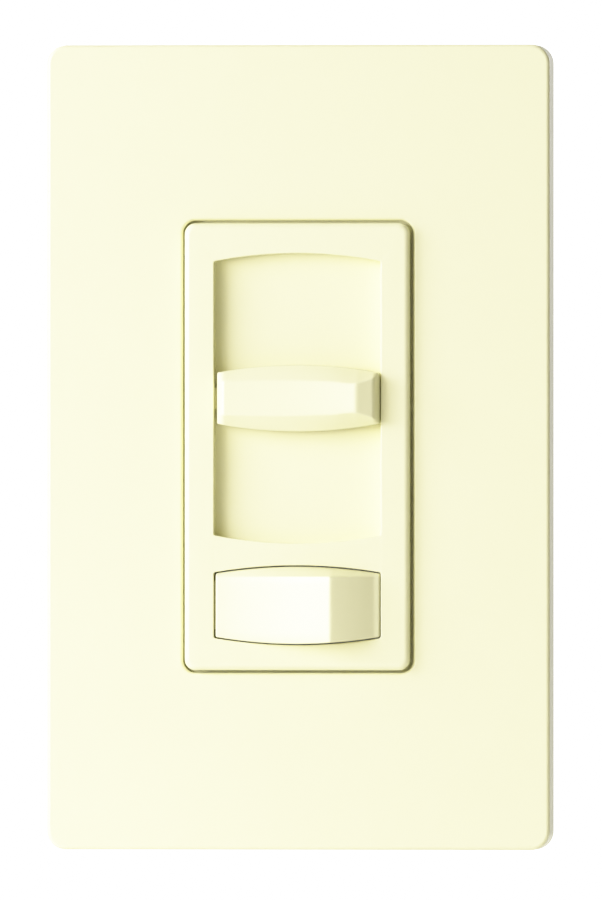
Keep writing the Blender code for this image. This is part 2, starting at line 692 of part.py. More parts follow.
# Parts soldered to the back of the board.
under_board = BOARD_BACK - GAP
part(
    "film_capacitor",
    YELLOW,
    box(-18.0, 0.0, -24.4, under_board, 8.0, 16.5),
    origin=(-9.0, 18.0, 12.0),
)
part("timing_capacitor", GREEN, box(4.0, 12.0, -18.4, under_board, -3.5, 0.5), origin=(8.0, 15.0, -1.5))
smooth(part(
    "diac",
    GLASS_BLUE,
    rod_x(1.0, 4.2, 8.4, -12.6, 8.0),
    origin=(6.3, 12.6, 8.0),
    add=[rod_x(0.3, 1.8, 10.8, -12.6, 8.0, 8)],
))
for i, z in enumerate((12.5, 17.0, -8.5), 1):
    smooth(part(
        f"resistor_{i}",
        TAN,
        rod_x(1.3, 6.0, 12.4, -12.9, z),
        origin=(9.2, 12.9, z),
        add=[rod_x(0.3, 3.4, 15.0, -12.9, z, 8)],
    ))
part(
    "trimmer_base",
    NYLON,
    box(4.5, 12.5, -14.6, under_board, -20.5, -13.5),
    origin=(8.5, 13.0, -17.0),
    cut=[disc(2.9, 8.5, -17.0, -16, -13.2, 24)],
)
smooth(part(
    "trimmer_rotor",
    BRASS,
    disc(2.5, 8.5, -17.0, -15.2, -13.5, 24),
    origin=(8.5, 13.0, -17.0),
    cut=[box(6.6, 10.4, -16, -14.6, -17.3, -16.7)],
))
for i, (x, z) in enumerate(lead_exits, 1):
    smooth(part(
        f"lead_crimp_{i}",
        TINNED,
        disc(1.3, x, z, -15.0, under_board, 16),
        origin=(x, 13.0, z),
        add=[disc(1.7, x, z, -12.4, under_board, 16)],
    ))
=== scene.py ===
"""Looks for the dimmer slide switch. X is right from the front, Z is up, the front faces -Y.

Shapes are written in millimetres as (x, h, z), where h is the height in front of the wall plane,
and are turned into metres, with Y = -h, where the meshes are made.
"""

import json
from math import cos, pi, radians, sin

import bmesh
import bpy
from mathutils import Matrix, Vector


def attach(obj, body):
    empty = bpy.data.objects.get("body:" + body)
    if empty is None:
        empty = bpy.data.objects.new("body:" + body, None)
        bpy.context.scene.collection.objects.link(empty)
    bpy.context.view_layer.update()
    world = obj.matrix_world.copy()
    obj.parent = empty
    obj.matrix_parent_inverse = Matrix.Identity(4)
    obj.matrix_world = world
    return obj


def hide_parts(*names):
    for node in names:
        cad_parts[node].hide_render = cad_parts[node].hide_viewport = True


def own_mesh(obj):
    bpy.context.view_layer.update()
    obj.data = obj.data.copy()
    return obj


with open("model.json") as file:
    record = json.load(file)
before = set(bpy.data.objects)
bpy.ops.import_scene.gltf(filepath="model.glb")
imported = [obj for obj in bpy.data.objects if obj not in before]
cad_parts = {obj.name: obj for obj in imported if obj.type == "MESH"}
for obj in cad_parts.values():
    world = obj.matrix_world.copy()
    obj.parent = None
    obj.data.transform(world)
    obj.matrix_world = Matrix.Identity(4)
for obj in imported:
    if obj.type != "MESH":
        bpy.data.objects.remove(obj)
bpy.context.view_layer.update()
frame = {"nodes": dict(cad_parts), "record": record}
MM = 0.001
GAP = 0.3


# ---------------------------------------------------------------- camera and light

def aim(ob, target):
    ob.rotation_mode = "QUATERNION"
    ob.rotation_quaternion = (Vector(target) - ob.location).to_track_quat("-Z", "Y")


AZIMUTH = radians(5.3)
DISTANCE = 4.0
FIELD = 0.13335
SIGHT = Vector((sin(AZIMUTH), -cos(AZIMUTH), 0.0))
TARGET = Vector((-0.00025, 0.0, -0.0004))
cam_data = bpy.data.cameras.new("camera")
cam_data.sensor_width = 36.0
cam_data.lens = cam_data.sensor_width * DISTANCE / FIELD
cam_data.clip_end = 100.0
camera = bpy.data.objects.new("camera", cam_data)
camera.location = TARGET + SIGHT * DISTANCE
bpy.context.scene.collection.objects.link(camera)
aim(camera, TARGET)
bpy.context.scene.camera = camera

view = bpy.context.scene.view_settings
view.view_transform = "Standard"
view.use_curve_mapping = True
view.curve_mapping.white_level = (2.0, 2.0, 2.0)
shoulder = view.curve_mapping.curves[3]
for x, y in ((0.34, 0.68), (0.45, 0.83), (0.614, 0.95), (0.8, 0.99)):
    shoulder.points.new(x, y)
view.curve_mapping.update()

world = bpy.data.worlds.new("studio")
world.use_nodes = True
bpy.context.scene.world = world
nodes, links = world.node_tree.nodes, world.node_tree.links
nodes.clear()


def backdrop(color, strength):
    made = nodes.new("ShaderNodeBackground")
    made.inputs["Color"].default_value = (*color, 1.0)
    made.inputs["Strength"].default_value = strength
    return made


def graded(axis, start, end, low, high):
    """A value that runs from low to high with the direction's share along one axis."""
    made = nodes.new("ShaderNodeMapRange")
    made.inputs["From Min"].default_value = start
    made.inputs["From Max"].default_value = end
    made.inputs["To Min"].default_value = low
    made.inputs["To Max"].default_value = high
    links.new(axes.outputs[axis], made.inputs["Value"])
    return made.outputs["Result"]


direction = nodes.new("ShaderNodeTexCoord")
axes = nodes.new("ShaderNodeSeparateXYZ")
links.new(direction.outputs["Generated"], axes.inputs[0])
seen = backdrop((1.0, 1.0, 1.0), 2.2)
fill = backdrop((1.0, 0.945, 0.68), 1.0)
links.new(graded("X", -0.7, 0.7, 0.62, 0.07), fill.inputs["Strength"])
shine = backdrop((1.0, 1.0, 1.0), 1.0)
links.new(graded("Z", -0.6, 0.8, 0.3, 1.1), shine.inputs["Strength"])
path = nodes.new("ShaderNodeLightPath")
lighting = nodes.new("ShaderNodeMixShader")
mix = nodes.new("ShaderNodeMixShader")
output = nodes.new("ShaderNodeOutputWorld")
links.new(path.outputs["Is Glossy Ray"], lighting.inputs[0])
links.new(fill.outputs[0], lighting.inputs[1])
links.new(shine.outputs[0], lighting.inputs[2])
links.new(path.outputs["Is Camera Ray"], mix.inputs[0])
links.new(lighting.outputs[0], mix.inputs[1])
links.new(seen.outputs[0], mix.inputs[2])
links.new(mix.outputs[0], output.inputs["Surface"])


def area_light(name, azimuth, elevation, distance, width, height, power, color):
    data = bpy.data.lights.new(name, "AREA")
    data.shape = "RECTANGLE"
    data.size = width
    data.size_y = height
    data.energy = power
    data.color = color
    ob = bpy.data.objects.new(name, data)
    a = radians(azimuth)
    e = radians(elevation)
    ob.location = Vector((sin(a) * cos(e), -cos(a) * cos(e), sin(e))) * distance
    ob.visible_camera = False
    aim(ob, (0.0, 0.0, 0.0))
    bpy.context.scene.collection.objects.link(ob)


area_light("key", -55.0, 14.0, 0.7, 0.55, 0.4, 6.0, (0.965, 1.0, 1.26))
area_light("front", -28.0, 6.0, 1.6, 0.6, 0.4, 8.2, (1.0, 0.98, 0.84))
area_light("rear", -150.0, 34.0, 0.9, 0.5, 0.4, 6.0, (1.0, 1.0, 1.0))
area_light("rear_low", 150.0, 14.0, 1.2, 0.5, 0.5, 3.0, (1.0, 0.98, 0.95))


# ---------------------------------------------------------------- materials

def shader_material(name, roughness, metallic=0.0, **settings):
    made = bpy.data.materials.new(name)
    made.use_nodes = True
    shader = made.node_tree.nodes["Principled BSDF"]
    shader.inputs["Roughness"].default_value = roughness
    shader.inputs["Metallic"].default_value = metallic
    for socket, value in settings.items():
        shader.inputs[socket.replace("_", " ")].default_value = value
    return made, shader


def noise(made, scale, detail=3.0, rough=0.5, stretch=(1.0, 1.0, 1.0)):
    tree = made.node_tree
    place = tree.nodes.new("ShaderNodeTexCoord")
    mapping = tree.nodes.new("ShaderNodeMapping")
    mapping.inputs["Scale"].default_value = stretch
    texture = tree.nodes.new("ShaderNodeTexNoise")
    texture.inputs["Scale"].default_value = scale
    texture.inputs["Detail"].default_value = detail
    texture.inputs["Roughness"].default_value = rough
    tree.links.new(place.outputs["Object"], mapping.inputs["Vector"])
    tree.links.new(mapping.outputs["Vector"], texture.inputs["Vector"])
    return texture.outputs["Fac"]


def ramp(made, source, low, high, start=0.3, end=0.7):
    node = made.node_tree.nodes.new("ShaderNodeValToRGB")
    node.color_ramp.elements[0].position = start
    node.color_ramp.elements[0].color = (*low, 1.0)
    node.color_ramp.elements[1].position = end
    node.color_ramp.elements[1].color = (*high, 1.0)
    made.node_tree.links.new(source, node.inputs["Fac"])
    return node.outputs["Color"]


def spread(made, source, low, high):
    node = made.node_tree.nodes.new("ShaderNodeMapRange")
    node.inputs["To Min"].default_value = low
    node.inputs["To Max"].default_value = high
    made.node_tree.links.new(source, node.inputs["Value"])
    return node.outputs["Result"]


def bump(made, shader, source, strength, distance):
    node = made.node_tree.nodes.new("ShaderNodeBump")
    node.inputs["Strength"].default_value = strength
    node.inputs["Distance"].default_value = distance
    made.node_tree.links.new(source, node.inputs["Height"])
    made.node_tree.links.new(node.outputs["Normal"], shader.inputs["Normal"])


def moulded(name, color, roughness, shift=0.015, grain=1400.0, depth=0.00001, **settings):
    """Injection-moulded plastic: faint mottling, uneven gloss and a fine surface grain."""
    made, shader = shader_material(name, roughness, **settings)
    low = tuple(c * (1 - shift) for c in color)
    links = made.node_tree.links
    links.new(ramp(made, noise(made, 55.0), low, color), shader.inputs["Base Color"])
    gloss = spread(made, noise(made, 130.0, 4.0), roughness * 0.88, roughness * 1.12)
    links.new(gloss, shader.inputs["Roughness"])
    bump(made, shader, noise(made, grain, 2.0), 0.25, depth)
    return made


def metal(name, color, roughness, stretch=(1.0, 1.0, 1.0), grain=900.0, shift=0.12, depth=0.00001):
    """Bare or plated metal: stretched grain, small tone changes and faint scratches."""
    made, shader = shader_material(name, roughness, 1.0)
    low = tuple(c * (1 - shift) for c in color)
    links = made.node_tree.links
    grain_out = noise(made, grain, 5.0, 0.6, stretch)
    links.new(ramp(made, grain_out, low, color), shader.inputs["Base Color"])
    links.new(spread(made, grain_out, roughness * 0.75, roughness * 1.3), shader.inputs["Roughness"])
    bump(made, shader, grain_out, 0.3, depth)
    return made


IVORY = (0.89, 0.863, 0.512)
MATERIALS = {
    "ivory_plastic": moulded("ivory_gloss", IVORY, 0.24, 0.012, 1700.0, 0.000006),
    "adapter_plastic": moulded("adapter_satin", (0.80, 0.775, 0.62), 0.42, 0.03, 900.0, 0.00002),
    "black_moulding": moulded("black_satin", (0.014, 0.014, 0.0155), 0.44, 0.25, 800.0, 0.00004),
    "yoke_aluminium": metal("yoke_metal", (0.78, 0.79, 0.80), 0.34, (1.0, 1.0, 0.06)),
    "screw_steel": metal("screw_zinc", (0.74, 0.73, 0.70), 0.28, (1.0, 1.0, 1.0), 1500.0),
    "washer_fibre": moulded("fibre_red", (0.55, 0.20, 0.12), 0.8, 0.3, 2200.0, 0.00006),
    "board_laminate": moulded("laminate", (0.40, 0.27, 0.11), 0.45, 0.25, 1500.0, 0.00003),
    "contact_brass": metal("brass", (0.80, 0.62, 0.28), 0.3, (1.0, 1.0, 1.0), 2600.0, 0.06, 0.000004),
    "winding_copper": metal("copper_enamel", (0.72, 0.28, 0.11), 0.25, (1.0, 1.0, 1.0), 1200.0),
    "core_powder": moulded("core_paint", (0.62, 0.56, 0.12), 0.55, 0.2, 900.0, 0.00005),
    "switch_phenolic": moulded("phenolic", (0.13, 0.065, 0.035), 0.42, 0.3, 900.0, 0.00003),
    "plunger_nylon": moulded("nylon", (0.84, 0.83, 0.78), 0.42, 0.04, 900.0, 0.00002),
    "element_carbon": moulded("carbon_film", (0.035, 0.035, 0.036), 0.6, 0.3, 2500.0, 0.00003),
    "capacitor_film": moulded("film_yellow", (0.78, 0.52, 0.07), 0.38, 0.1, 700.0, 0.00003),
    "capacitor_dip": moulded("dipped_green", (0.16, 0.36, 0.12), 0.3, 0.15, 600.0, 0.00006),
    "diac_glass": moulded("blue_glass", (0.06, 0.17, 0.42), 0.1, 0.1, 600.0, 0.00001),
    "resistor_body": moulded("resistor_tan", (0.70, 0.54, 0.32), 0.42, 0.1, 900.0, 0.00004),
    "pad_silicone": moulded("silicone_grey", (0.52, 0.54, 0.57), 0.75, 0.12, 1600.0, 0.00004),
    "tinned_steel": metal("tin_plate", (0.78, 0.78, 0.75), 0.3, (1.0, 1.0, 0.2)),
}


# ---------------------------------------------------------------- outlines, in millimetres

def rounded(w, h, r, steps=10, cx=0.0, cz=0.0):
    points = []
    for sx, sz, start in ((1, 1, 0), (-1, 1, 90), (-1, -1, 180), (1, -1, 270)):
        for i in range(steps + 1):
            a = radians(start + 90 * i / steps)
            points.append((cx + sx * (w / 2 - r) + r * cos(a), cz + sz * (h / 2 - r) + r * sin(a)))
    return points


def circle(r, cx=0.0, cz=0.0, count=40):
    return [(cx + r * cos(2 * pi * i / count), cz + r * sin(2 * pi * i / count)) for i in range(count)]


def bowed(half_w, half_h, arc, cz, steps=28):
    across = [half_w * (1 - 2 * i / steps) for i in range(steps + 1)]
    top = [(x, cz + half_h + arc * (1 - (x / half_w) ** 2)) for x in across]
    return top + [(x, 2 * cz - z) for x, z in reversed(top)]


def softened(points, r, steps=4):
    """The same polygon with each sharp corner rounded to radius r."""
    made = []
    count = len(points)
    for i, p in enumerate(points):
        before = Vector(points[i - 1]) - Vector(p)
        after = Vector(points[(i + 1) % count]) - Vector(p)
        turn = before.angle(after)
        if turn > radians(160):
            made.append(p)
            continue
        reach = min(r * abs(cos(turn / 2) / sin(turn / 2)), before.length * 0.45, after.length * 0.45)
        start = Vector(p) + before.normalized() * reach
        end = Vector(p) + after.normalized() * reach
        for k in range(steps + 1):
            t = k / steps
            q = start * (1 - t) ** 2 + Vector(p) * 2 * t * (1 - t) + end * t ** 2
            made.append((q.x, q.y))
    return made


def offset(points, d):
    """Outline moved outward by d, for a counter-clockwise loop."""
    made = []
    count = len(points)
    for i, (x, z) in enumerate(points):
        x0, z0 = points[i - 1]
        x1, z1 = points[(i + 1) % count]
        n0 = Vector((z - z0, x0 - x)).normalized()
        n1 = Vector((z1 - z, x - x1)).normalized()
        n = n0 + n1
        n = n.normalized() / max(0.5, cos(n0.angle(n1, 0.0) / 2))
        made.append((x + n.x * d, z + n.y * d))
    return made


# ---------------------------------------------------------------- piece builders

def finish_mesh(bm, name, body, slot, nodes=(), sharp=35.0, weighted=True, material=None):
    """Turn a bmesh built in millimetres into a piece that rides on a body."""
    bmesh.ops.remove_doubles(bm, verts=bm.verts, dist=1e-5)
    for v in bm.verts:
        v.co = Vector((v.co.x, -v.co.y, v.co.z)) * MM
    bmesh.ops.recalc_face_normals(bm, faces=bm.faces)
    for f in bm.faces:
        f.smooth = True
    for e in bm.edges:
        e.smooth = e.calc_face_angle(0.0) < radians(sharp)
    mesh = bpy.data.meshes.new(name)
    bm.to_mesh(mesh)
    bm.free()
    ob = bpy.data.objects.new(name, mesh)
    bpy.context.scene.collection.objects.link(ob)
    mesh.materials.append(material or MATERIALS[slot])
    if weighted:
        even = ob.modifiers.new("even_normals", "WEIGHTED_NORMAL")
        even.keep_sharp = True
        even.weight = 100
    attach(ob, body)
    if nodes:
        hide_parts(*nodes)
    return ob


def strip(bm, rings, cyclic=False):
    """Walls between rings of (x, h, z) points. Returns the first and last loops of vertices."""
    loops = [[bm.verts.new(p) for p in ring] for ring in rings]
    pairs = list(zip(loops, loops[1:]))
    if cyclic:
        pairs.append((loops[-1], loops[0]))
    for near, far in pairs:
        for i in range(len(near)):
            j = (i + 1) % len(near)
            bm.faces.new((near[i], near[j], far[j], far[i]))
    return loops[0], loops[-1]


def fill_flat(bm, loops):
    """A flat face inside the first loop and outside the others."""
    edges = []
    for loop in loops:
        for i in range(len(loop)):
            edges.append(bm.edges.get((loop[i], loop[(i + 1) % len(loop)])))
    bmesh.ops.triangle_fill(bm, use_beauty=True, edges=edges, normal=(0, 1, 0))


def wall_rings(outline, h0, h1, roll0, roll1, inward, steps=5):
    """Rings up a wall from h0 to h1, its edges rolled over by roll0 and roll1 to the inward side."""
    rings = []
    for i in range(steps + 1):
        a = radians(90 * i / steps)
        rings.append((roll0 * (1 - sin(a)), h0 + roll0 * (1 - cos(a))))
    for i in range(steps + 1):
        a = radians(90 * i / steps)
        rings.append((roll1 * (1 - cos(a)), h1 - roll1 * (1 - sin(a))))
    made = []
    for inset, h in rings:
        made.append([(x, h, z) for x, z in offset(outline, inward * inset)])
    return made


def slab(name, outer, holes, h0, h1, body, slot, nodes=(), back=0.1, front=0.1, hole_roll=0.1, **more):
    """A plate between two heights with rolled edges and holes straight through it."""
    bm = bmesh.new()
    backs, fronts = [], []
    low, high = strip(bm, wall_rings(outer, h0, h1, back, front, -1))
    backs.append(low)
    fronts.append(high)
    for hole in holes:
        low, high = strip(bm, wall_rings(hole, h0, h1, hole_roll, hole_roll, 1))
        backs.append(low)
        fronts.append(high)
    fill_flat(bm, backs)
    fill_flat(bm, fronts)
    return finish_mesh(bm, name, body, slot, nodes, **more)


def cut(ob, *boxes):
    """Take boxes, given as (x0, x1, h0, h1, z0, z1), out of a piece."""
    for i, (x0, x1, h0, h1, z0, z1) in enumerate(boxes):
        bm = bmesh.new()
        bmesh.ops.create_cube(bm, size=1.0)
        for v in bm.verts:
            x = x0 + (x1 - x0) * (v.co.x + 0.5)
            h = h0 + (h1 - h0) * (v.co.y + 0.5)
            z = z0 + (z1 - z0) * (v.co.z + 0.5)
            v.co = Vector((x, -h, z)) * MM
        bmesh.ops.recalc_face_normals(bm, faces=bm.faces)
        mesh = bpy.data.meshes.new("cutter")
        bm.to_mesh(mesh)
        bm.free()
        tool = bpy.data.objects.new(f"{ob.name}_cutter_{i}", mesh)
        bpy.context.scene.collection.objects.link(tool)
        step = ob.modifiers.new("cut", "BOOLEAN")
        step.operation = "DIFFERENCE"
        step.solver = "EXACT"
        step.object = tool
        bpy.context.view_layer.objects.active = ob
        while ob.modifiers[0] != step:
            bpy.ops.object.modifier_move_up(modifier=step.name)
        bpy.ops.object.modifier_apply(modifier=step.name)
        bpy.data.objects.remove(tool, do_unlink=True)
    return ob


def turned(name, profile, x, z, body, slot, nodes=(), count=40, **more):
    """A round piece about an axis along Y, from (radius, h) pairs, closed at both ends."""
    bm = bmesh.new()
    rings = [[(px, h, pz) for px, pz in circle(max(r, 0.01), x, z, count)] for r, h in profile]
    first, last = strip(bm, rings)
    bm.faces.new(first)
    bm.faces.new(last)
    return finish_mesh(bm, name, body, slot, nodes, weighted=False, **more)


def threaded(name, r, pitch, h0, h1, x, z, body, slot, count=24, per_turn=6):
    """A screw shank with a helical thread, running from h1 down to its point at h0."""
    bm = bmesh.new()
    rings = []
    length = h1 - h0
    total = int(length / pitch * per_turn)
    for k in range(total + 1):
        h = h1 - length * k / total
        ring = []
        for i in range(count):
            a = 2 * pi * i / count
            phase = (h / pitch + i / count) % 1.0
            tooth = 1 - abs(2 * phase - 1)
            taper = min(1.0, 0.72 + (h - h0) * 0.25)
            radius = (r - 0.28 * tooth) * taper
            ring.append((x + radius * cos(a), h, z + radius * sin(a)))
        rings.append(ring)
    first, last = strip(bm, rings)
    bm.faces.new(first)
    bm.faces.new(last)
    return finish_mesh(bm, name, body, slot, sharp=60.0, weighted=False)


# ---------------------------------------------------------------- wall plate cover

PLATE_W, PLATE_H, PLATE_FRONT = 74.7, 119.1, 7.5
PLATE_R, PLATE_ROLL, PLATE_WALL = 2.8, 0.6, 1.8
OPENING_W, OPENING_H, OPENING_R, OPENING_Z = 34.2, 66.9, 1.9, 0.08
OPENING_ROLL = 0.5


def cover_rings():
    rings = []

    def ring(inset, h):
        r = max(PLATE_R - inset, 0.5)
        rings.append([(x, h, z) for x, z in rounded(PLATE_W - 2 * inset, PLATE_H - 2 * inset, r, 12)])

    ring(0.15, 0.0)
    ring(0.0, 0.15)
    for k in range(1, 5):
        ring(0.0, 0.15 + (PLATE_FRONT - PLATE_ROLL - 0.15) * k / 4)
    for k in range(1, 13):
        a = radians(90 * k / 12)
        ring(PLATE_ROLL * (1 - cos(a)), PLATE_FRONT - PLATE_ROLL * (1 - sin(a)))
    for k in range(9):
        a = radians(90 * k / 8)
        grow = OPENING_ROLL * (1 - sin(a))
        outline = rounded(OPENING_W + 2 * grow, OPENING_H + 2 * grow, OPENING_R + grow, 12, 0.0, OPENING_Z)
        rings.append([(x, PLATE_FRONT - OPENING_ROLL * (1 - cos(a)), z) for x, z in outline])
    back = PLATE_FRONT - PLATE_WALL
    rings.append([(x, back, z) for x, z in rounded(OPENING_W, OPENING_H, OPENING_R, 12, 0.0, OPENING_Z)])
    ring(PLATE_WALL + 0.5, back)
    ring(PLATE_WALL + 0.15, back - 0.15)
    ring(PLATE_WALL, back - 0.5)
    ring(PLATE_WALL, 0.15)
    ring(PLATE_WALL - 0.15, 0.0)
    return rings


bm = bmesh.new()
strip(bm, cover_rings(), cyclic=True)
finish_mesh(bm, "cover", "device", "ivory_plastic", ["wallplate_cover"], sharp=30.0)


# ---------------------------------------------------------------- bezel

BEZEL_W, BEZEL_H, BEZEL_FACE, BEZEL_X, BEZEL_WALL = 33.4, 66.1, 8.9, -0.06, 1.2
UNDER_FACE = BEZEL_FACE - BEZEL_WALL
CAVITY_X, CAVITY_Z, SPLIT_Z = BEZEL_W / 2 - BEZEL_WALL, BEZEL_H / 2 - BEZEL_WALL, -15.4
FLANGE_FRONT = 5.4
ADAPTER_BACK = 1.9
WINDOW_HALF_W, WINDOW_HALF_H, WINDOW_Z, WINDOW_ARC = 12.4, 20.25, 7.25, 1.2
FLOOR_H, FLOOR_T, GROOVE_X, GROOVE_H = 6.3, 1.8, -11.4, 3.0
ARM_X, ARM_TOP, SLOT_HALF = -13.8, 7.4, 19.2
BUTTON_HALF_H, BUTTON_Z, BUTTON_ARC = 4.85, -23.35, 1.05
EDGE_SOFT = 0.35
window = softened(bowed(WINDOW_HALF_W, WINDOW_HALF_H, WINDOW_ARC, WINDOW_Z), EDGE_SOFT)
button_hole = softened(bowed(WINDOW_HALF_W, BUTTON_HALF_H, BUTTON_ARC, BUTTON_Z), EDGE_SOFT)
bezel = slab(
    "bezel_frame",
    rounded(BEZEL_W, BEZEL_H, 1.6, 12, BEZEL_X, OPENING_Z),
    [window, button_hole],
    ADAPTER_BACK, BEZEL_FACE, "device", "ivory_plastic", ["bezel"],
    front=0.8, hole_roll=0.14,
)
cut(
    bezel,
    (-CAVITY_X, CAVITY_X, 1.0, FLOOR_H - FLOOR_T, SPLIT_Z - 0.1, CAVITY_Z),
    (-CAVITY_X, CAVITY_X, 1.0, UNDER_FACE, -CAVITY_Z, SPLIT_Z),
    (ARM_X - 0.8, GROOVE_X, FLOOR_H - 0.02, UNDER_FACE, WINDOW_Z - WINDOW_HALF_H, WINDOW_Z + WINDOW_HALF_H),
    (ARM_X - 0.7, ARM_X + 0.7, 3.0, FLOOR_H + 0.1, WINDOW_Z - SLOT_HALF, WINDOW_Z + SLOT_HALF),
)
slab(
    "bezel_flange", rounded(35.5, 69.0, 1.2),
    [rounded(BEZEL_W - 0.7, BEZEL_H - 0.7, 1.2, 10, BEZEL_X, OPENING_Z)],
    ADAPTER_BACK, FLANGE_FRONT, "device", "ivory_plastic", back=0.2, front=0.2,
)
floor_plate = slab(
    "window_floor", offset(window, 0.5), [],
    FLOOR_H - FLOOR_T, FLOOR_H, "device", "ivory_plastic",
)
groove = (-WINDOW_HALF_W, GROOVE_X, GROOVE_H, 7.0, WINDOW_Z - WINDOW_HALF_H, WINDOW_Z + WINDOW_HALF_H)
cut(floor_plate, groove)
guide = slab(
    "window_guide", rounded(2.2, 41.6, 0.3, 5, -11.9, WINDOW_Z), [],
    GROOVE_H - 0.6, FLOOR_H - FLOOR_T + 0.05, "device", "ivory_plastic",
)
cut(guide, groove)


# ---------------------------------------------------------------- slide knob and button

def curve_at(table, x):
    """Height along a smooth curve through (x, value) pairs."""
    if x <= table[0][0]:
        return table[0][1]
    for i in range(len(table) - 1):
        x0, y0 = table[i]
        x1, y1 = table[i + 1]
        if x <= x1:
            xa, ya = table[max(i - 1, 0)]
            xb, yb = table[min(i + 2, len(table) - 1)]
            m0 = (y1 - ya) / max(x1 - xa, 1e-6)
            m1 = (yb - y0) / max(xb - x0, 1e-6)
            t = (x - x0) / (x1 - x0)
            d = x1 - x0
            return (
                y0 * (2 * t ** 3 - 3 * t ** 2 + 1) + m0 * d * (t ** 3 - 2 * t ** 2 + t)
                + y1 * (3 * t ** 2 - 2 * t ** 3) + m1 * d * (t ** 3 - t ** 2)
            )
    return table[-1][1]


def blunt(top, x, reach):
    """A profile with its ridge blunted over a short reach."""
    offsets = [reach * (i / 4 - 1) for i in range(9)]
    weights = [1 - abs(o) / reach * 0.85 for o in offsets]
    return sum(w * top(x + o) for w, o in zip(weights, offsets)) / sum(weights)


def corner(before, at, after, reach, steps=5):
    """Points of a corner rounded over a distance, for (h, z) pairs."""
    before, at, after = Vector(before), Vector(at), Vector(after)
    start = at + (before - at).normalized() * min(reach, (before - at).length * 0.45)
    end = at + (after - at).normalized() * min(reach, (after - at).length * 0.45)
    points = []
    for k in range(steps + 1):
        u = k / steps
        points.append(tuple(start * (1 - u) ** 2 + at * 2 * u * (1 - u) + end * u ** 2))
    return points


def grip(name, body, nodes, x0, x1, cz, h0, top, base, shoulder, edges, roll):
    """A ridge grip made of stations along X: walls up to a shoulder, bevels, and a flat top between them."""
    end, count, reach = 6, 96, 0.3
    stations = []
    for k in range(end):
        a = radians(90 * k / end)
        stations.append((x0 + roll * (1 - cos(a)), roll * (1 - sin(a))))
    for k in range(count + 1):
        stations.append((x0 + roll + (x1 - x0 - 2 * roll) * k / count, 0.0))
    for k in range(end - 1, -1, -1):
        a = radians(90 * k / end)
        stations.append((x1 - roll * (1 - cos(a)), roll * (1 - sin(a))))
    bm = bmesh.new()
    rings = []
    for x, inset in stations:
        h1 = blunt(top, min(max(x, x0), x1), reach) - inset
        wall = base(x) - inset
        bend = min(shoulder, h1 - 0.05)
        ring = []
        for sign, edge in zip((1, -1), edges):
            plateau = min(edge(x) - inset, wall)
            side = [(h0, wall - 0.15), (h0 + 0.15, wall)]
            side += corner((h0, wall), (bend, wall), (h1, plateau), 0.25)
            side += corner((bend, wall), (h1, plateau), (h1, 0.0), roll)
            inner = side[-1][1]
            side += [(h1, inner * (1 - k / 4)) for k in range(1, 5)]
            if sign > 0:
                ring += [(x, h, cz + z) for h, z in side]
            else:
                ring += [(x, h, cz - z) for h, z in reversed(side[:-1])]
        rings.append(ring)
    first, last = strip(bm, rings)
    bm.faces.new(first)
    bm.faces.new(last)
    return finish_mesh(bm, name, body, "ivory_plastic", nodes, sharp=50.0, weighted=False)


KNOB_X0, KNOB_X1, KNOB_SHOULDER = -11.85, 12.25, 9.5
KNOB_PROFILE = [(-11.85, 9.3), (-11.0, 11.2), (9.05, 12.3), (11.65, 11.2), (12.25, 8.9)]
KNOB_EDGE = [(-11.85, 2.5), (-6.0, 2.6), (0.0, 2.6), (6.0, 2.4), (9.05, 2.2), (12.25, 3.3)]


def knob_top(x):
    for (xa, ha), (xb, hb) in zip(KNOB_PROFILE, KNOB_PROFILE[1:]):
        if x <= xb:
            t = max(x - xa, 0.0) / (xb - xa)
            return ha + (hb - ha) * (t * t if xb == KNOB_PROFILE[2][0] else t)
    return KNOB_PROFILE[-1][1]


def knob_base(x):
    return 3.7 + 1.2 * (1 - (x / WINDOW_HALF_W) ** 2)


def knob_edge(x):
    return curve_at(KNOB_EDGE, x)


grip(
    "knob", "slide", ["slider_knob"], KNOB_X0, KNOB_X1, WINDOW_Z, 6.6,
    knob_top, knob_base, KNOB_SHOULDER, (knob_edge, knob_edge), 0.25,
)
slab(
    "knob_arm", rounded(3.4, 3.2, 0.2, 4, -12.5, WINDOW_Z), [],
    6.7, ARM_TOP, "slide", "ivory_plastic",
)
slab(
    "knob_blade", rounded(0.8, 3.1, 0.2, 4, ARM_X, WINDOW_Z), [],
    -6.0, ARM_TOP - 0.2, "slide", "ivory_plastic",
)
BUTTON_X0, BUTTON_X1, BUTTON_RIDGE, BUTTON_LIP = -12.1, 12.25, 5.2, 11.4
RIDGE_RISE, LEFT_RISE, LIP_RISE, BUTTON_BACK = 3.9, 0.1, 0.4, 5.9


def button_top(x):
    if x <= BUTTON_RIDGE:
        t = (x - BUTTON_X0) / (BUTTON_RIDGE - BUTTON_X0)
        return BEZEL_FACE + LEFT_RISE + (RIDGE_RISE - LEFT_RISE) * (0.35 * t + 0.65 * t * t)
    if x <= BUTTON_LIP:
        t = (x - BUTTON_RIDGE) / (BUTTON_LIP - BUTTON_RIDGE)
        return BEZEL_FACE + RIDGE_RISE - (RIDGE_RISE - LIP_RISE) * (0.78 * t + 0.22 * t * t)
    return BEZEL_FACE + LIP_RISE - 0.35 * (x - BUTTON_LIP)


def button_base(x):
    return BUTTON_HALF_H - 0.2 + BUTTON_ARC * (1 - (x / WINDOW_HALF_W) ** 2)


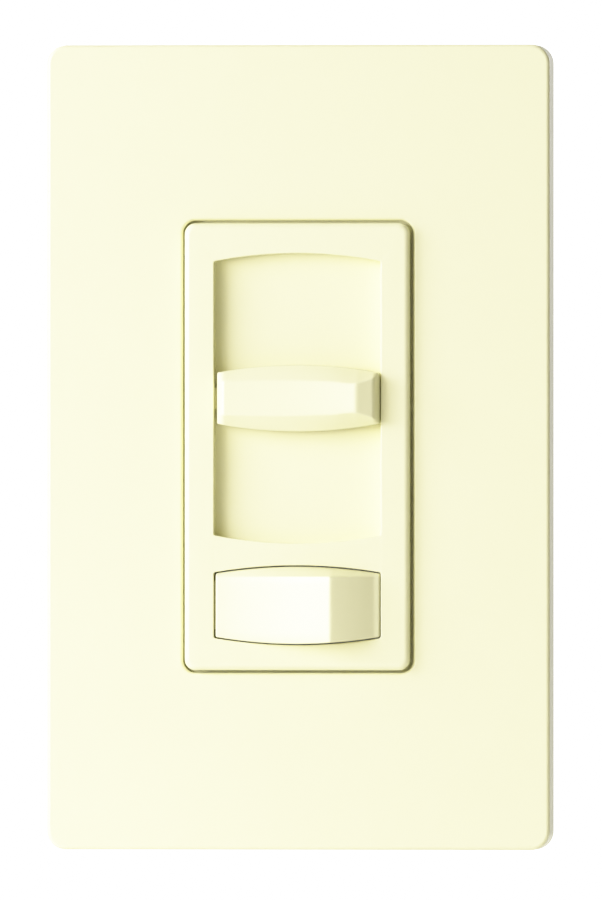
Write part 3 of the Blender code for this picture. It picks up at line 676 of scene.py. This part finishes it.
grip(
    "button", "button", ["on_off_button"], BUTTON_X0, BUTTON_X1, BUTTON_Z, BUTTON_BACK,
    button_top, button_base, BEZEL_FACE - 0.3, (lambda x: 4.25, button_base), 0.22,
)
slab(
    "button_flange", rounded(27.2, 7.2, 0.8, 5, 0.0, BUTTON_Z), [],
    BUTTON_BACK, UNDER_FACE - GAP, "button", "ivory_plastic",
)
slab(
    "button_post", rounded(4.4, 4.4, 0.6, 5, 0.0, BUTTON_Z), [],
    3.0, 6.2, "button", "ivory_plastic",
)


# ---------------------------------------------------------------- adapter and yoke

ADAPTER_SCREW_Z, BOX_SCREW_Z = 48.4, 41.65
ADAPTER_FRONT, RAIL_FRONT, YOKE_T = 3.9, 5.4, 1.6
BOSSES = [(sx * 17.6, sz * 31.0) for sx in (-1, 1) for sz in (-1, 1)]
RIVET, GROUND = (9.0, 22.5), (-11.0, -43.0)
catches = [rounded(7.0, 1.6, 0.4, 4, sx * 18, sz * 54.8) for sx in (-1, 1) for sz in (-1, 1)]
slab(
    "adapter",
    rounded(70.5, 114.9, 1.2),
    [rounded(36.5, 70.0, 1.5)]
    + [circle(2.0, 0, s * ADAPTER_SCREW_Z) for s in (-1, 1)]
    + [circle(4.0, 0, s * BOX_SCREW_Z) for s in (-1, 1)]
    + catches,
    ADAPTER_BACK, ADAPTER_FRONT, "device", "adapter_plastic", ["wallplate_adapter"],
    back=0.25, front=0.25, hole_roll=0.15,
)
for s in (-1, 1):
    slab(
        f"adapter_rail_{'right' if s > 0 else 'left'}", rounded(2.0, 104.0, 0.6, 5, s * 23.0), [],
        ADAPTER_FRONT - 0.3, RAIL_FRONT, "device", "adapter_plastic", front=0.3,
    )
quarter = [(22.25, 34.0), (20.25, 36.0), (16.5, 36.0), (16.5, 50.0), (13.5, 53.0)]
yoke_line = (
    quarter + [(-x, z) for x, z in reversed(quarter)]
    + [(-x, -z) for x, z in quarter] + [(x, -z) for x, z in reversed(quarter)]
)
yoke_holes = [rounded(3.2, 2 * SLOT_HALF, 0.6, 5, ARM_X, WINDOW_Z), rounded(8.4, 7.2, 0.6, 5, 0.0, BUTTON_Z)]
yoke_holes += [circle(1.75, 0, s * ADAPTER_SCREW_Z) for s in (-1, 1)]
yoke_holes += [rounded(6.6, 4.2, 2.09, 8, 0, s * BOX_SCREW_Z) for s in (-1, 1)]
yoke_holes += [circle(1.6, *place, 28) for place in BOSSES]
yoke_holes += [circle(1.8, *RIVET, 28), circle(1.6, *GROUND, 28)]
slab(
    "yoke_strap", softened(yoke_line, 1.2), yoke_holes,
    0.0, YOKE_T, "device", "yoke_aluminium", ["yoke"], back=0.2, front=0.3, hole_roll=0.15,
)
for sx in (-1, 1):
    slab(
        f"yoke_edge_{'right' if sx > 0 else 'left'}",
        rounded(0.9, 60.0, 0.4, 5, sx * 21.2), [], YOKE_T - 0.1, YOKE_T + 0.15,
        "device", "yoke_aluminium", front=0.1,
    )


# ---------------------------------------------------------------- screws and washers

PITCH = 0.794


def head_profile(r, h0, h1, dome):
    """A flat-bottomed head from h0 to h1 with a domed top."""
    rings = [(0.0, h0), (r - 0.15, h0), (r, h0 + 0.15), (r, h1 - dome)]
    for k in range(1, 9):
        a = radians(90 * k / 8)
        rings.append((r * cos(a * 0.96), h1 - dome + dome * sin(a)))
    rings.append((0.0, h1))
    return rings


for side, s in (("upper", 1), ("lower", -1)):
    z = s * ADAPTER_SCREW_Z
    head = turned(
        f"adapter_screw_head_{side}", head_profile(2.5, ADAPTER_FRONT + GAP, RAIL_FRONT, 0.6), 0.0, z,
        "device", "screw_steel", [f"adapter_screw_{side}"],
    )
    cut(head, (-2.6, 2.6, 4.8, 6.0, z - 0.35, z + 0.35))
    threaded(f"adapter_screw_thread_{side}", 1.42, PITCH, -4.0, 4.3, 0.0, z, "device", "screw_steel")
    z = s * BOX_SCREW_Z
    head = turned(
        f"box_screw_head_{side}", head_profile(3.5, ADAPTER_BACK, 3.7, 0.9), 0.0, z,
        "device", "screw_steel", [f"box_screw_{side}"],
    )
    cut(head, (-3.6, 3.6, 2.9, 4.0, z - 0.45, z + 0.45), (-0.45, 0.45, 2.7, 4.0, z - 2.2, z + 2.2))
    threaded(f"box_screw_thread_{side}", 1.68, PITCH, -22.0, 2.1, 0.0, z, "device", "screw_steel")
    slab(
        f"fibre_washer_{side}", circle(4.2, 0.0, z), [circle(1.95, 0.0, z)],
        -1.1, -GAP, "device", "washer_fibre", [f"screw_retainer_{side}"],
    )


# ---------------------------------------------------------------- rear housing

HOUSING_W, HOUSING_H, HOUSING_BACK, HOUSING_WALL = 43.0, 69.0, -30.3, 1.8
INNER_X, INNER_Z = HOUSING_W / 2 - HOUSING_WALL, HOUSING_H / 2 - HOUSING_WALL
WELL_X, WELL_Z = 14.1, 27.5


def notched(half_w, half_h, notch_x, notch_z, soft):
    """A rectangle with its four corners notched for the screw bosses."""
    top = [(half_w, notch_z), (notch_x, notch_z), (notch_x, half_h)]
    top += [(-x, z) for x, z in reversed(top)]
    return softened(top + [(-x, -z) for x, z in top], soft)


inside = notched(INNER_X, INNER_Z, WELL_X, WELL_Z, 0.6)
screw_wells = [circle(1.6, x, z, 28) for x, z in BOSSES]
slab(
    "housing_walls", rounded(HOUSING_W, HOUSING_H, 2.2), [inside] + screw_wells,
    HOUSING_BACK + HOUSING_WALL, -GAP, "device", "black_moulding", ["rear_housing"], back=0.0, front=0.2,
)
lead_exits = [(x, 22.0) for x in (-9.0, 0.0, 9.0)]
slab(
    "housing_back", rounded(HOUSING_W, HOUSING_H, 2.2),
    [circle(2.7, x, z, 36) for x, z in BOSSES] + [circle(1.7, x, z, 28) for x, z in lead_exits],
    HOUSING_BACK, HOUSING_BACK + HOUSING_WALL, "device", "black_moulding",
    back=0.9, front=0.0, hole_roll=0.12,
)
for i, (x, z) in enumerate(lead_exits, 1):
    slab(
        f"lead_collar_{i}", circle(3.0, x, z), [circle(1.7, x, z, 28)],
        HOUSING_BACK - 1.6, HOUSING_BACK + 0.3, "device", "black_moulding", back=0.35, hole_roll=0.3,
    )
for i in range(7):
    z = -24.0 + i * 5.4
    slab(
        f"cooling_rib_{i + 1}", rounded(27.0, 1.4, 0.6, 5, 0.0, z), [],
        HOUSING_BACK - 0.7, HOUSING_BACK + 0.2, "device", "black_moulding", back=0.3,
    )
screw_head = head_profile(2.3, HOUSING_BACK + 0.2, HOUSING_BACK + 1.9, 0.5)
turned_back = [(r, HOUSING_BACK * 2 + 2.1 - h) for r, h in screw_head]
for i, (x, z) in enumerate(BOSSES, 1):
    head = turned(
        f"housing_screw_head_{i}", turned_back, x, z,
        "device", "screw_steel", [f"housing_screw_{i}"], count=32,
    )
    cut(
        head,
        (x - 1.5, x + 1.5, HOUSING_BACK - 0.5, HOUSING_BACK + 0.9, z - 0.3, z + 0.3),
        (x - 0.3, x + 0.3, HOUSING_BACK - 0.5, HOUSING_BACK + 0.9, z - 1.5, z + 1.5),
    )
    turned(
        f"housing_screw_shank_{i}", [(1.25, HOUSING_BACK + 1.5), (1.25, 1.3), (1.05, 1.5)],
        x, z, "device", "screw_steel", count=24,
    )


# ---------------------------------------------------------------- board and the parts on it

BOARD_BACK, BOARD_FRONT = -11.1, -9.5
UNDER, OVER = BOARD_BACK - GAP, BOARD_FRONT + GAP
CHOKE, TRIMMER = (-8.6, -14.5), (8.5, -17.0)


def banded(name, base, bands, x0, x1):
    """A glossy body with colour bands at set shares of its length along X."""
    made, shader = shader_material(name, 0.35)
    tree = made.node_tree
    place = tree.nodes.new("ShaderNodeTexCoord")
    split = tree.nodes.new("ShaderNodeSeparateXYZ")
    share = tree.nodes.new("ShaderNodeMapRange")
    share.inputs["From Min"].default_value = x0 * MM
    share.inputs["From Max"].default_value = x1 * MM
    tree.links.new(place.outputs["Object"], split.inputs[0])
    tree.links.new(split.outputs["X"], share.inputs["Value"])
    stripes = tree.nodes.new("ShaderNodeValToRGB")
    stripes.color_ramp.interpolation = "CONSTANT"
    stripes.color_ramp.elements[1].position = 0.999
    for element in stripes.color_ramp.elements:
        element.color = (*base, 1.0)
    for at, color in bands:
        stripes.color_ramp.elements.new(at).color = (*color, 1.0)
        stripes.color_ramp.elements.new(at + 0.08).color = (*base, 1.0)
    tree.links.new(share.outputs["Result"], stripes.inputs["Fac"])
    tree.links.new(stripes.outputs["Color"], shader.inputs["Base Color"])
    bump(made, shader, noise(made, 700.0, 3.0), 0.3, 0.00002)
    return made


def barrel(name, profile, h, z, slot, nodes=(), material=None, count=28):
    """A round piece lying along X, from (x, radius) pairs."""
    bm = bmesh.new()
    rings = []
    for x, r in profile:
        turn = [2 * pi * i / count for i in range(count)]
        rings.append([(x, h + r * cos(a), z + r * sin(a)) for a in turn])
    first, last = strip(bm, rings)
    bm.faces.new(first)
    bm.faces.new(last)
    return finish_mesh(bm, name, "device", slot, nodes, weighted=False, material=material)


def swell(x0, x1, r, waist, lead, start, end):
    """A dipped body on its lead: round shoulders, fuller ends and a slight waist."""
    points = [(start, lead), (x0, lead)]
    for k in range(1, 25):
        t = k / 25
        shoulder = min(1.0, 8 * min(t, 1 - t)) ** 0.5
        middle = waist * max(0.0, sin(pi * t)) ** 2
        points.append((x0 + (x1 - x0) * t, max(lead, (r - middle) * shoulder)))
    return points + [(x1, lead), (end, lead)]


slab(
    "board", notched(INNER_X - GAP, INNER_Z - GAP, WELL_X - GAP, WELL_Z - GAP, 0.8), [],
    BOARD_BACK, BOARD_FRONT,
    "device", "board_laminate", ["circuit_board"], back=0.1, front=0.1,
)

case = slab(
    "slide_pot_can", rounded(9.1, 40.3, 0.7, 6, ARM_X, WINDOW_Z), [], OVER, -1.2,
    "device", "tinned_steel", ["pot_case"], back=0.15, front=0.5,
)
cut(
    case,
    (ARM_X - 3.85, ARM_X + 3.85, OVER + 0.7, -1.9, -12.2, 26.7),
    (ARM_X - 1.45, ARM_X + 1.45, -2.5, 0.0, WINDOW_Z - SLOT_HALF + 0.6, WINDOW_Z + SLOT_HALF - 0.6),
)
slab(
    "resistive_strip", rounded(6.9, 38.3, 0.5, 5, ARM_X, WINDOW_Z), [], -8.2, -7.6,
    "device", "element_carbon", ["pot_element"],
)
slab(
    "wiper_carriage", rounded(6.9, 6.0, 0.6, 5, ARM_X, WINDOW_Z),
    [rounded(1.5, 3.9, 0.3, 5, ARM_X, WINDOW_Z)],
    -6.6, -2.3, "slide", "plunger_nylon", ["pot_carriage"], back=0.2, front=0.3,
)

slab(
    "switch_walls", rounded(18.0, 15.3, 0.9, 6, 0.0, BUTTON_Z), [rounded(15.0, 12.3, 0.6, 6, 0.0, BUTTON_Z)],
    -7.95, -1.2, "device", "switch_phenolic", ["switch_base"], back=0.0, front=0.3, hole_roll=0.2,
)
slab(
    "switch_floor", rounded(18.0, 15.3, 0.9, 6, 0.0, BUTTON_Z), [], OVER, -7.9,
    "device", "switch_phenolic", back=0.3, front=0.0,
)
slab(
    "plunger_stem", rounded(6.0, 4.8, 0.6, 6, 0.0, BUTTON_Z), [], -2.8, 2.7,
    "plunger", "plunger_nylon", ["switch_plunger"], front=0.4,
)
slab(
    "plunger_collar", rounded(14.2, 10.8, 0.8, 6, 0.0, BUTTON_Z), [], -3.0, -2.2,
    "plunger", "plunger_nylon", back=0.15, front=0.2,
)
turned(
    "plunger_pin", [(1.1, -5.0), (1.4, -4.9), (1.5, -4.6), (1.5, -2.6)], 0.0, BUTTON_Z,
    "plunger", "plunger_nylon",
)
for label, z in (("a", BUTTON_Z + 4.3), ("b", BUTTON_Z - 4.3)):
    turned(
        f"fixed_contact_{label}", [(1.1, -7.6), (1.1, -7.3), (0.95, -7.18), (0.6, -7.12), (0.1, -7.1)],
        -5.8, z, "device", "contact_brass", [f"switch_contact_{label}"], count=28,
    )

slab(
    "insulating_pad", rounded(12.0, 18.0, 0.8, 5, 9.0, 18.0), [circle(1.8, *RIVET, 28)],
    -0.6, -GAP, "device", "pad_silicone", ["triac_pad"], back=0.05, front=0.05, hole_roll=0.05,
)
slab(
    "triac_tab", rounded(10.0, 16.0, 0.5, 5, 9.0, 18.0), [circle(1.8, *RIVET, 28)],
    -2.2, -0.9, "device", "tinned_steel", front=0.15, back=0.15,
)
slab(
    "triac_body", rounded(10.0, 9.0, 0.4, 5, 9.0, 14.3), [], -5.4, -0.95,
    "device", "black_moulding", ["triac"], back=0.6, front=0.2,
)
for i, x in enumerate((6.4, 9.0, 11.6), 1):
    slab(
        f"triac_leg_{i}", rounded(0.8, 4.0, 0.3, 4, x, 8.2), [], -3.4, -2.8,
        "device", "tinned_steel",
    )
    slab(
        f"triac_leg_end_{i}", rounded(0.8, 0.6, 0.2, 4, x, 6.5), [], OVER, -2.85,
        "device", "tinned_steel",
    )
turned(
    "rivet_heat_sink",
    [
        (2.1, -3.6), (2.4, -3.4), (2.4, -2.5), (1.5, -2.5), (1.5, 1.9),
        (2.8, 1.9), (2.8, 2.5), (2.5, 2.8), (1.9, 2.9), (0.9, 2.9), (0.7, 2.7),
    ],
    *RIVET, "device", "yoke_aluminium", ["triac_rivet"], count=36,
)
turned(
    "rivet_ground", [(1.9, -2.2), (2.3, -2.0), (2.3, -1.2), (1.3, -1.2), (1.3, 1.4), (1.1, 1.5)],
    *GROUND, "device", "contact_brass", ["ground_rivet"], count=32,
)
slab(
    "ground_lug", rounded(6.0, 12.0, 1.5, 8, GROUND[0], GROUND[1] - 3.0), [circle(1.6, *GROUND, 28)],
    -0.9, -GAP, "device", "contact_brass", ["ground_tab"],
)

slab(
    "filter_core", circle(8.6, *CHOKE, 72), [circle(4.8, *CHOKE, 56)], -20.2, -13.8,
    "device", "core_powder", ["choke_core"], back=1.1, front=1.1, hole_roll=1.1,
)
slab(
    "filter_capacitor", rounded(18.0, 8.5, 0.9, 6, -9.0, 12.25), [], -24.4, UNDER,
    "device", "capacitor_film", ["film_capacitor"], back=0.7, front=0.3,
)
slab(
    "dipped_capacitor", rounded(8.0, 4.0, 1.9, 8, 8.0, -1.5), [], -18.4, UNDER,
    "device", "capacitor_dip", ["timing_capacitor"], back=1.2, front=0.5,
)
GLASS = banded("banded_glass", (0.06, 0.17, 0.42), [(0.68, (0.01, 0.01, 0.012))], 4.2, 8.4)
barrel("glass_diac", swell(4.2, 8.4, 1.0, 0.0, 0.3, 1.8, 10.8), -12.6, 8.0, "diac_glass", ["diac"], GLASS)
BROWN, BLACK, ORANGE, GOLD = (0.15, 0.05, 0.02), (0.01, 0.01, 0.01), (0.75, 0.2, 0.02), (0.6, 0.42, 0.12)
BANDS = [(0.2, BROWN), (0.36, BLACK), (0.52, ORANGE), (0.74, GOLD)]
TAN = banded("banded_resistor", (0.70, 0.54, 0.32), BANDS, 6.0, 12.4)
for i, z in enumerate((12.5, 17.0, -8.5), 1):
    barrel(
        f"film_resistor_{i}", swell(6.0, 12.4, 1.3, 0.22, 0.3, 3.4, 15.0), -12.9, z,
        "resistor_body", [f"resistor_{i}"], TAN,
    )
slab(
    "trimmer_body", rounded(8.0, 7.0, 0.6, 5, *TRIMMER), [circle(2.9, *TRIMMER, 40)], -14.6, UNDER,
    "device", "plunger_nylon", ["trimmer_base"], back=0.25, front=0.15, hole_roll=0.15,
)
rotor = turned(
    "trimmer_wheel", [(2.2, -15.2), (2.5, -15.0), (2.5, -13.7), (2.3, -13.5)], *TRIMMER,
    "trimmer", "contact_brass", ["trimmer_rotor"],
)
cut(rotor, (6.6, 10.4, -16.0, -14.6, -17.3, -16.7))
for i, (x, z) in enumerate(lead_exits, 1):
    turned(
        f"crimp_{i}", [(1.15, -15.0), (1.3, -14.8), (1.3, -12.5), (1.7, -12.3), (1.7, -11.5), (1.6, UNDER)],
        x, z, "device", "tinned_steel", [f"lead_crimp_{i}"], count=28,
    )


# ---------------------------------------------------------------- pieces kept from the CAD

for row in frame["record"]["subparts"]:
    node = frame["nodes"][row["node"]]
    if node.hide_render:
        continue
    node.data.materials.clear()
    node.data.materials.append(MATERIALS[row["material_slot"]])
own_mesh(frame["nodes"]["button_spring"])


# ---------------------------------------------------------------- floor

FLOOR_R = 0.42
floor_mesh = bpy.data.meshes.new("floor")
bm = bmesh.new()
bmesh.ops.create_circle(bm, cap_ends=True, radius=FLOOR_R, segments=96)
bm.to_mesh(floor_mesh)
bm.free()
floor = bpy.data.objects.new("floor", floor_mesh)
floor.location = (0.0, 0.0, -0.0755)
bpy.context.scene.collection.objects.link(floor)
floor_mat, floor_shader = shader_material("pale_floor", 0.8)
floor_shader.inputs["Base Color"].default_value = (0.92, 0.92, 0.91, 1.0)
floor_tree = floor_mat.node_tree
place = floor_tree.nodes.new("ShaderNodeTexCoord")
reach = floor_tree.nodes.new("ShaderNodeVectorMath")
reach.operation = "LENGTH"
fade = floor_tree.nodes.new("ShaderNodeMapRange")
fade.interpolation_type = "SMOOTHSTEP"
fade.inputs["From Min"].default_value = FLOOR_R * 0.3
fade.inputs["From Max"].default_value = FLOOR_R
fade.inputs["To Min"].default_value = 1.0
fade.inputs["To Max"].default_value = 0.0
floor_tree.links.new(place.outputs["Object"], reach.inputs[0])
floor_tree.links.new(reach.outputs["Value"], fade.inputs["Value"])
floor_tree.links.new(fade.outputs["Result"], floor_shader.inputs["Alpha"])
floor_mesh.materials.append(floor_mat)
